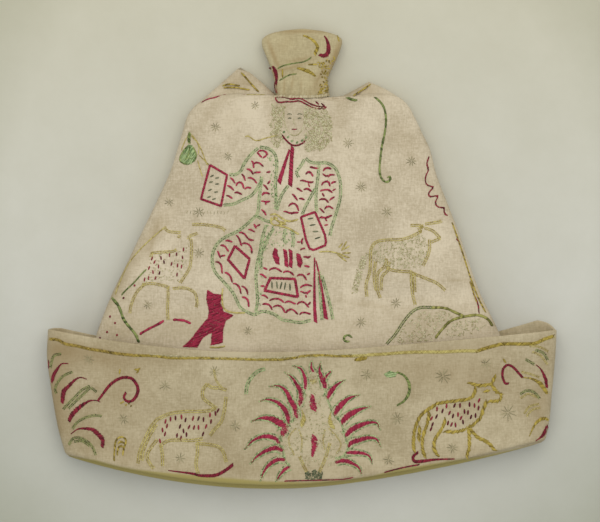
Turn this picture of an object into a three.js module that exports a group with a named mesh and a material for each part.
// A man's linen nightcap with a turned-up cuff and a knob at its crown, laid flat on its back.
// Millimetres. +X is to the right seen from the front, +Y runs from the mouth to the knob, and +Z
// is up, out of the front. The cap lies on Z = 0 with the origin under the middle of its outline.
// The cloth is stiff linen in two layers. The crown is an open tube that narrows to a neck, the
// knob closes it, and the cuff is a second band, joined to the mouth by a rolled lower edge.
import * as THREE from "three";

// Cloth
const clothWall = 1.6;
const seamGap = 0.3;

// Crown, measured lying flat
const bodyHeight = 213;
const topHeight = 22;
const shoulderWidth = 143.5;
const neckWidth = 32;
const bodyDepth = 26;
const neckDepth = 15.5;
const mouthWidth = 287.5;
const mouthDepth = 24.4;
const mouthShift = 1.75; // how far the mouth's middle lies to the right of the knob's
const mouthDip = 22.5; // how far the middle of the mouth hangs below its two ends
const mouthSlant = 8.5; // how far the right end lies above the left end
const mouthSway = 1.5; // how far the right of the mouth's edge is lifted and the left let down
const mouthLean = 4.4; // how far the front's lower edge lies above the back's

// Cuff
const cuffHeight = 83.5;
const cuffTopWidth = 304.5;
const cuffStandOff = 4.5; // how far the upper edge stands off the crown in front
const rollHeight = 3.2;

// Knob
const knobHeight = 42;
const knobWidth = 48.5;
const neckGap = 0.42; // the knob's seam, which the left peak rises beside

// Peaks: the corners of the crown's top, which stand up behind the shoulders
const leftPeakHeight = 16.5;
const rightPeakHeight = 7.5;

// Flares: the cuff's back, which stands up above its front near the two ends
const rightFlareHeight = 6.5;
const leftFlareHeight = 1.5;

// Soft relief
const foldRise = 1.6;
const pleatRise = 0.7;
const pleatReach = 10; // how far the gathers run from the neck's seam

const pointsAcross = 24; // points of a ring on the front, and as many on the back
const around = 2 * pointsAcross;
const sideRoundness = 4;
const sideLevel = 0.45; // where the side rolls lie, as a share of the depth
const restFlatness = 1.06; // over 1, so that the middle of the back lies truly flat
const bowPower = 1.8; // how the seams and edges across the cap curve
const pleatsAcross = 5;

// The body, from the mouth to the shoulders. up, leftUp and rightUp are shares of bodyHeight. left
// and right run from 0 at half the shoulder width to 1 at half the mouth. front is a share of
// bodyDepth and back of the layers below. edge is how much of the mouth's lean and sway is left.
const bodySections = [
  { up: 0.075, leftUp: 0.16, rightUp: 0.19, left: 0.961, right: 0.968, front: 0.88, back: 1, edge: 0.8 },
  { up: 0.16, leftUp: 0.235, rightUp: 0.258, left: 0.911, right: 0.893, front: 0.91, back: 1, edge: 0.5 },
  { up: 0.254, leftUp: 0.31, rightUp: 0.329, left: 0.855, right: 0.791, front: 0.94, back: 1, edge: 0.3 },
  { up: 0.347, leftUp: 0.39, rightUp: 0.399, left: 0.798, right: 0.699, front: 0.97, back: 1, edge: 0.1 },
  { up: 0.432, leftUp: 0.46, rightUp: 0.465, left: 0.734, right: 0.611, front: 0.99, back: 1, edge: 0 },
  { up: 0.526, leftUp: 0.552, rightUp: 0.549, left: 0.621, right: 0.49, front: 1, back: 0.4, edge: 0 },
  { up: 0.62, leftUp: 0.629, rightUp: 0.629, left: 0.504, right: 0.401, front: 1, back: 0, edge: 0 },
  { up: 0.714, leftUp: 0.714, rightUp: 0.714, left: 0.377, right: 0.316, front: 0.98, back: 0, edge: 0 },
  { up: 0.808, leftUp: 0.808, rightUp: 0.803, left: 0.235, right: 0.216, front: 0.94, back: 0, edge: 0 },
  { up: 0.892, leftUp: 0.892, rightUp: 0.887, left: 0.117, right: 0.121, front: 0.88, back: 0, edge: 0 },
  { up: 0.958, leftUp: 0.958, rightUp: 0.958, left: 0.05, right: 0.067, front: 0.81, back: 0, edge: 0 },
  { up: 1, leftUp: 1.009, rightUp: 1.009, left: 0.004, right: -0.004, front: 0.76, back: 0, edge: 0 },
];

// The top, from the shoulders to the neck. up, leftUp and rightUp are shares of topHeight. left
// and right run from 0 at half the neck width to 1 at half the shoulder width. front and back run
// from 0 at the neck's to 1 at the last body section's.
const topSections = [
  { up: 0.27, leftUp: 0.5, rightUp: 0.5, left: 0.955, right: 0.918, front: 0.9, back: 0.7 },
  { up: 0.45, leftUp: 0.77, rightUp: 0.8, left: 0.879, right: 0.852, front: 0.78, back: 0.6 },
  { up: 0.6, leftUp: 0.98, rightUp: 1.01, left: 0.77, right: 0.762, front: 0.65, back: 0.5 },
  { up: 0.7, leftUp: 1.07, rightUp: 1.1, left: 0.65, right: 0.655, front: 0.52, back: 0.4 },
  { up: 0.78, leftUp: 1.12, rightUp: 1.12, left: 0.51, right: 0.52, front: 0.4, back: 0.3 },
  { up: 0.84, leftUp: 1.14, rightUp: 1.12, left: 0.38, right: 0.39, front: 0.3, back: 0.2 },
  { up: 0.89, leftUp: 1.13, rightUp: 1.09, left: 0.25, right: 0.26, front: 0.2, back: 0.13 },
  { up: 0.94, leftUp: 1.11, rightUp: 1.06, left: 0.12, right: 0.12, front: 0.1, back: 0.06 },
  { up: 0.98, leftUp: 1.08, rightUp: 1.03, left: 0, right: 0, front: 0, back: 0 },
];

// The knob, from the neck to its top. up, leftUp and rightUp are shares of knobHeight. left and
// right are shares of half the knob width, front and back shares of neckDepth.
const knobSections = [
  { up: 0.15, leftUp: 0.14, rightUp: 0.16, left: 0.67, right: 0.652, front: 0.95, back: 0.06 },
  { up: 0.29, leftUp: 0.26, rightUp: 0.28, left: 0.7, right: 0.629, front: 0.92, back: 0.04 },
  { up: 0.43, leftUp: 0.4, rightUp: 0.42, left: 0.767, right: 0.725, front: 0.92, back: 0.03 },
  { up: 0.55, leftUp: 0.54, rightUp: 0.56, left: 0.854, right: 0.842, front: 0.91, back: 0.03 },
  { up: 0.65, leftUp: 0.66, rightUp: 0.68, left: 0.942, right: 0.925, front: 0.88, back: 0.05 },
  { up: 0.73, leftUp: 0.77, rightUp: 0.78, left: 1.008, right: 0.979, front: 0.82, back: 0.09 },
  { up: 0.81, leftUp: 0.86, rightUp: 0.86, left: 0.983, right: 0.958, front: 0.73, back: 0.15 },
  { up: 0.88, leftUp: 0.93, rightUp: 0.92, left: 0.79, right: 0.79, front: 0.64, back: 0.22 },
  { up: 0.94, leftUp: 0.97, rightUp: 0.965, left: 0.5, right: 0.5, front: 0.57, back: 0.3 },
  { up: 0.98, leftUp: 0.99, rightUp: 0.985, left: 0.21, right: 0.25, front: 0.52, back: 0.37 },
];
const knobTip = { across: 0.02, up: 1, level: 0.45 };

// The cuff, from the rolled edge to its upper edge. up is a share of cuffHeight. left and right
// run from 0 at half the mouth width to 1 at half the upper width. leftUp and rightUp are shares
// of mouthDip above up. standOff is a share of cuffStandOff, lean of mouthLean and sway of
// mouthSway.
const cuffSections = [
  { up: 0.2, leftUp: 0.75, rightUp: 1.06, left: 0.42, right: 0.4, standOff: 0.12, lean: 0.8, sway: 1 },
  { up: 0.4, leftUp: 0.66, rightUp: 0.91, left: 0.68, right: 0.56, standOff: 0.3, lean: 0.6, sway: 1 },
  { up: 0.6, leftUp: 0.6, rightUp: 0.76, left: 0.9, right: 0.74, standOff: 0.5, lean: 0.4, sway: 1.1 },
  { up: 0.8, leftUp: 0.57, rightUp: 0.66, left: 1.08, right: 0.9, standOff: 0.75, lean: 0.2, sway: 1.2 },
  { up: 1, leftUp: 0.58, rightUp: 0.56, left: 1.01, right: 0.99, standOff: 1, lean: 0, sway: 1.2 },
];

// Pulls: places where the cloth's back is drawn up along the cap. side is -1 on the left. tip,
// inner and outer are shares of half the shoulder width, or half the cuff's upper width, from the
// middle line. innerBow and outerBow are the flanks' powers: over 1 is hollow, under 1 is full.
const peaks = [
  { side: -1, height: leftPeakHeight, tip: 0.52, inner: 0.24, outer: 0.86, innerBow: 0.8, outerBow: 1.3 },
  { side: 1, height: rightPeakHeight, tip: 0.556, inner: 0.33, outer: 0.79, innerBow: 1.2, outerBow: 0.9 },
];
const flares = [
  { side: -1, height: leftFlareHeight, tip: 0.95, inner: 0.75, outer: 1, innerBow: 1, outerBow: 0.5 },
  { side: 1, height: rightFlareHeight, tip: 0.93, inner: 0.68, outer: 1, innerBow: 1.2, outerBow: 0.5 },
];

// Main folds and dents. x is a share of half the mouth width and up a share of bodyHeight. length
// and width are shares of bodyHeight, turn is in degrees and rise is a share of foldRise.
const crownFolds = [
  { x: 0.47, up: 0.54, length: 0.2, width: 0.035, turn: 2, rise: -1 },
  { x: -0.62, up: 0.5, length: 0.12, width: 0.03, turn: 12, rise: -0.8 },
  { x: -0.6, up: 0.63, length: 0.14, width: 0.03, turn: 64, rise: 0.7 },
  { x: 0.2, up: 0.97, length: 0.06, width: 0.05, turn: 100, rise: -0.8 },
  { x: -0.28, up: 0.93, length: 0.1, width: 0.07, turn: 70, rise: 0.7 },
  { x: 0.02, up: 0.9, length: 0.12, width: 0.03, turn: 92, rise: 0.5 },
  { x: 0.36, up: 0.72, length: 0.16, width: 0.09, turn: 110, rise: 0.6 },
];
const cuffFolds = [
  { x: -0.55, up: 0.3, length: 0.09, width: 0.05, turn: 80, rise: 0.9 },
  { x: -0.2, up: 0.33, length: 0.12, width: 0.06, turn: 95, rise: -0.7 },
  { x: 0.3, up: 0.32, length: 0.1, width: 0.05, turn: 100, rise: 0.7 },
  { x: 0.66, up: 0.34, length: 0.1, width: 0.05, turn: 85, rise: -0.8 },
];

const { lerp, clamp, smoothstep, degToRad } = THREE.MathUtils;
const halfShoulder = shoulderWidth / 2;
const halfNeck = neckWidth / 2;
const halfKnob = knobWidth / 2;
const halfMouth = mouthWidth / 2;
const mouthLeft = halfMouth - mouthShift;
const mouthRight = halfMouth + mouthShift;
const halfCuffTop = cuffTopWidth / 2;
const layersBelow = clothWall + seamGap; // the cuff's back, between the crown and the surface

// How full a ring is at a place across it, from 1 in the middle to 0 at the two side rolls.
function fullness(across) {
  return (1 - Math.abs(across) ** sideRoundness) ** (1 / sideRoundness);
}

// Height that the folds of a table give to a front at x and y.
function foldsAt(folds, x, y) {
  let rise = 0;
  for (const fold of folds) {
    const turn = degToRad(fold.turn);
    const dx = x - fold.x * halfMouth;
    const dy = y - fold.up * bodyHeight;
    const along = (dx * Math.cos(turn) + dy * Math.sin(turn)) / (fold.length * bodyHeight);
    const over = (dy * Math.cos(turn) - dx * Math.sin(turn)) / (fold.width * bodyHeight);
    rise += foldRise * fold.rise * Math.exp(-along * along - over * over);
  }
  return rise;
}

// Adds to each ring which way its two ends move when the cloth is inset: square to the outline,
// and straight in at the first ring, which lies along a seam or the mouth.
function addInwards(rings) {
  rings.forEach((ring, i) => {
    ring.leftIn = new THREE.Vector2(1, 0);
    ring.rightIn = new THREE.Vector2(-1, 0);
    if (i === 0) return;
    const before = rings[i - 1];
    const after = rings[Math.min(i + 1, rings.length - 1)];
    const left = new THREE.Vector2(after.left - before.left, after.leftUp - before.leftUp).normalize();
    const right = new THREE.Vector2(after.right - before.right, after.rightUp - before.rightUp).normalize();
    ring.leftIn = new THREE.Vector2(left.y, -left.x);
    ring.rightIn = new THREE.Vector2(-right.y, right.x);
  });
  return rings;
}

// A point of a ring: across runs from -1 at the left roll to 1 at the right one.
function pointOn(ring, across, isFront, inset, relief) {
  const left = ring.left + inset * ring.leftIn.x;
  const right = ring.right + inset * ring.rightIn.x;
  const leftUp = ring.leftUp + inset * ring.leftIn.y;
  const rightUp = ring.rightUp + inset * ring.rightIn.y;
  const x = lerp(left, right, (across + 1) / 2);
  const bow = Math.abs(across) ** bowPower * ((leftUp + rightUp) / 2 - ring.mid);
  const slant = across * ((rightUp - leftUp) / 2) + ring.sway * Math.sin(Math.PI * across);
  const level = ring.level ?? lerp(ring.back, ring.front, sideLevel);
  let y = ring.mid + bow + slant;
  let z = level;
  if (isFront) {
    z += (ring.front - inset - level) * fullness(across);
  } else {
    z -= (level - ring.back - inset) * Math.min(1, restFlatness * fullness(across));
  }
  y += ring.lean * (z / mouthDepth);
  if (isFront) z += relief(x, y, across) * fullness(across);
  return new THREE.Vector3(x, y, z);
}

// All points of a ring, from the right roll over the front to the left roll and back beneath.
function loopOf(ring, inset, relief) {
  return Array.from({ length: around }, (_, i) => {
    const isFront = i < pointsAcross;
    const turn = isFront ? 1 - (2 * i) / pointsAcross : (2 * i) / pointsAcross - 3;
    return pointOn(ring, Math.sin((turn * Math.PI) / 2), isFront, inset, relief);
  });
}

// One closed mesh through loops of equal length, each joined to the next. Without poles the last
// loop joins the first. With poles, a first and a last point close the two ends.
function skinOf(name, loops, material, poles) {
  const points = loops.flat();
  const index = [];
  const quads = poles ? loops.length - 1 : loops.length;
  for (let i = 0; i < quads; i += 1) {
    for (let j = 0; j < around; j += 1) {
      const a = i * around + j;
      const b = i * around + ((j + 1) % around);
      const c = ((i + 1) % loops.length) * around + ((j + 1) % around);
      const d = ((i + 1) % loops.length) * around + j;
      index.push(a, c, b, a, d, c);
    }
  }
  if (poles) {
    const first = points.push(poles[0]) - 1;
    const last = points.push(poles[1]) - 1;
    const end = (loops.length - 1) * around;
    for (let j = 0; j < around; j += 1) {
      const next = (j + 1) % around;
      index.push(first, j, next, last, end + next, end + j);
    }
  }
  const geometry = new THREE.BufferGeometry().setFromPoints(points);
  geometry.setIndex(index);
  geometry.computeVertexNormals();
  const mesh = new THREE.Mesh(geometry, material);
  mesh.name = name;
  return mesh;
}

// The rolled lower edge's own ring, which the cuff and the crown's mouth share.
const mouthRing = {
  mid: 0,
  left: -mouthLeft,
  leftUp: mouthDip - mouthSlant / 2,
  right: mouthRight,
  rightUp: mouthDip + mouthSlant / 2,
  front: mouthDepth,
  back: 0,
  level: mouthDepth * sideLevel,
  lean: mouthLean,
  sway: mouthSway,
};

// The same ring, raised along the cap and drawn in on all sides.
function raisedRing(ring, rise, inset) {
  return {
    ...ring,
    mid: ring.mid + rise,
    leftUp: ring.leftUp + rise,
    rightUp: ring.rightUp + rise,
    left: ring.left + inset,
    right: ring.right - inset,
    front: ring.front - inset,
    back: ring.back + inset,
  };
}

function crownRings() {
  const rings = [raisedRing(mouthRing, rollHeight + seamGap, layersBelow)];
  for (const row of bodySections) {
    rings.push({
      mid: row.up * bodyHeight,
      left: -lerp(halfShoulder, mouthLeft - layersBelow, row.left),
      leftUp: row.leftUp * bodyHeight,
      right: lerp(halfShoulder, mouthRight - layersBelow, row.right),
      rightUp: row.rightUp * bodyHeight,
      front: row.front * bodyDepth,
      back: row.back * layersBelow,
      lean: row.edge * mouthLean,
      sway: row.edge * mouthSway,
    });
  }
  const shoulder = rings[rings.length - 1];
  const neckBack = neckDepth * knobSections[0].back;
  for (const row of topSections) {
    rings.push({
      mid: bodyHeight + row.up * topHeight,
      left: -lerp(halfNeck, halfShoulder, row.left),
      leftUp: bodyHeight + row.leftUp * topHeight,
      right: lerp(halfNeck, halfShoulder, row.right),
      rightUp: bodyHeight + row.rightUp * topHeight,
      front: lerp(neckDepth, shoulder.front, row.front),
      back: lerp(neckBack, shoulder.back, row.back),
      lean: 0,
      sway: 0,
    });
  }
  return addInwards(rings);
}

const crownLine = crownRings();
const neckRing = crownLine[crownLine.length - 1];

// The crown's front height at y, which the cuff lies over.
function crownFrontAt(y) {
  const next = Math.max(1, crownLine.findIndex((ring) => ring.mid > y));
  const [low, high] = [crownLine[next - 1], crownLine[next]];
  return lerp(low.front, high.front, clamp((y - low.mid) / (high.mid - low.mid), 0, 1));
}

// Small gathers where the crown is drawn in to the neck, fading out away from it.
function pleatsAt(across, y) {
  const fade = Math.exp(-(((y - neckRing.mid) / pleatReach) ** 2));
  return pleatRise * fade * Math.cos(Math.PI * pleatsAcross * across);
}

// Draws a point up where a table of pulls says so: fully at endUp and above, not at all below
// startUp, and only on the back, which ends at the height called level.
function pulledUp(point, pulls, halfWidth, startUp, endUp, level, inset) {
  for (const pull of pulls) {
    const out = (point.x * pull.side) / halfWidth;
    const inner = clamp((out - pull.inner) / (pull.tip - pull.inner), 0, 1) ** pull.innerBow;
    const outer = clamp((pull.outer - out) / (pull.outer - pull.tip), 0, 1) ** pull.outerBow;
    const height = Math.max(0, pull.height * Math.min(inner, outer) - 2 * inset);
    const reach = smoothstep(point.y, startUp, endUp);
    const behind = 1 - smoothstep(point.z, level * 0.5, level);
    point.y += height * reach * behind;
  }
  return point;
}

function makeCrown() {
  const relief = (x, y, across) => foldsAt(crownFolds, x, y) + pleatsAt(across, y);
  const shoulderLine = bodyHeight + topHeight / 2;
  const roofLine = bodyHeight + topHeight;
  const peaked = (point, inset) => {
    return pulledUp(point, peaks, halfShoulder, shoulderLine, roofLine, neckDepth * 0.75, inset);
  };
  const loop = (ring, inset) => loopOf(ring, inset, relief).map((point) => peaked(point, inset));
  const outer = crownLine.map((ring) => loop(ring, 0));
  const inner = crownLine.map((ring) => loop(ring, clothWall)).reverse();
  const linen = new THREE.MeshStandardMaterial({ color: 0xc4b492, roughness: 0.92, metalness: 0 });
  return skinOf("crown", [...outer, ...inner], linen);
}

function makeKnob() {
  const base = neckRing.mid + neckGap;
  const rings = [{
    ...neckRing,
    mid: base,
    leftUp: neckRing.leftUp + neckGap,
    rightUp: neckRing.rightUp + neckGap,
  }];
  for (const row of knobSections) {
    rings.push({
      mid: base + row.up * knobHeight,
      left: -row.left * halfKnob,
      leftUp: base + row.leftUp * knobHeight,
      right: row.right * halfKnob,
      rightUp: base + row.rightUp * knobHeight,
      front: row.front * neckDepth,
      back: row.back * neckDepth,
      lean: 0,
      sway: 0,
    });
  }
  addInwards(rings);
  const relief = (x, y, across) => pleatsAt(across, y);
  const outer = rings.map((ring) => loopOf(ring, 0, relief));
  // The hollow stops short of the pinched top, where the layers lie together.
  const hollow = rings.slice(0, -3);
  const inner = hollow.map((ring) => loopOf(ring, clothWall, relief)).reverse();
  const deepest = hollow[hollow.length - 1];
  const tip = (up) => new THREE.Vector3(knobTip.across * halfKnob, up, knobTip.level * neckDepth);
  const linen = new THREE.MeshStandardMaterial({ color: 0xbcab84, roughness: 0.92, metalness: 0 });
  const poles = [tip(deepest.mid + clothWall), tip(base + knobTip.up * knobHeight)];
  return skinOf("knob", [...inner, ...outer], linen, poles);
}

function makeCuff() {
  const rings = [mouthRing];
  for (const row of cuffSections) {
    const y = row.up * cuffHeight;
    rings.push({
      mid: y,
      left: -lerp(mouthLeft, halfCuffTop, row.left),
      leftUp: y + row.leftUp * mouthDip,
      right: lerp(mouthRight, halfCuffTop, row.right),
      rightUp: y + row.rightUp * mouthDip,
      front: crownFrontAt(y) + seamGap + clothWall + row.standOff * cuffStandOff,
      back: 0,
      lean: row.lean * mouthLean,
      sway: row.sway * mouthSway,
    });
  }
  addInwards(rings);
  const relief = (x, y) => foldsAt(cuffFolds, x, y) * smoothstep(y, 0, cuffHeight);
  const flared = (point) => {
    return pulledUp(point, flares, halfCuffTop, cuffHeight / 2, cuffHeight, mouthDepth / 2, 0);
  };
  const loop = (ring, inset) => loopOf(ring, inset, relief).map(flared);
  const [rollTop] = addInwards([raisedRing(mouthRing, rollHeight, 0)]);
  const [rollSide] = addInwards([raisedRing(mouthRing, rollHeight / 4, 0)]);
  const rollWall = 2 * clothWall + seamGap;
  const outer = [rollTop, ...rings.slice(1)].map((ring) => loop(ring, 0));
  const inner = [rollTop, ...rings.slice(1)].map((ring) => loop(ring, clothWall)).reverse();
  const roll = [
    loop(rollTop, rollWall),
    loop(rollSide, rollWall * 0.9),
    loop(rings[0], rollWall / 2),
    loop(rollSide, rollWall * 0.1),
  ];
  const linen = new THREE.MeshStandardMaterial({ color: 0xa8966c, roughness: 0.92, metalness: 0 });
  return skinOf("cuff", [...outer, ...inner, ...roll], linen);
}

const cap = new THREE.Group();
cap.add(makeCrown(), makeKnob(), makeCuff());
const outline = new THREE.Box3().setFromObject(cap);
const middle = outline.getCenter(new THREE.Vector3());
cap.position.set(-middle.x, -middle.y, -outline.min.z);

export default cap;
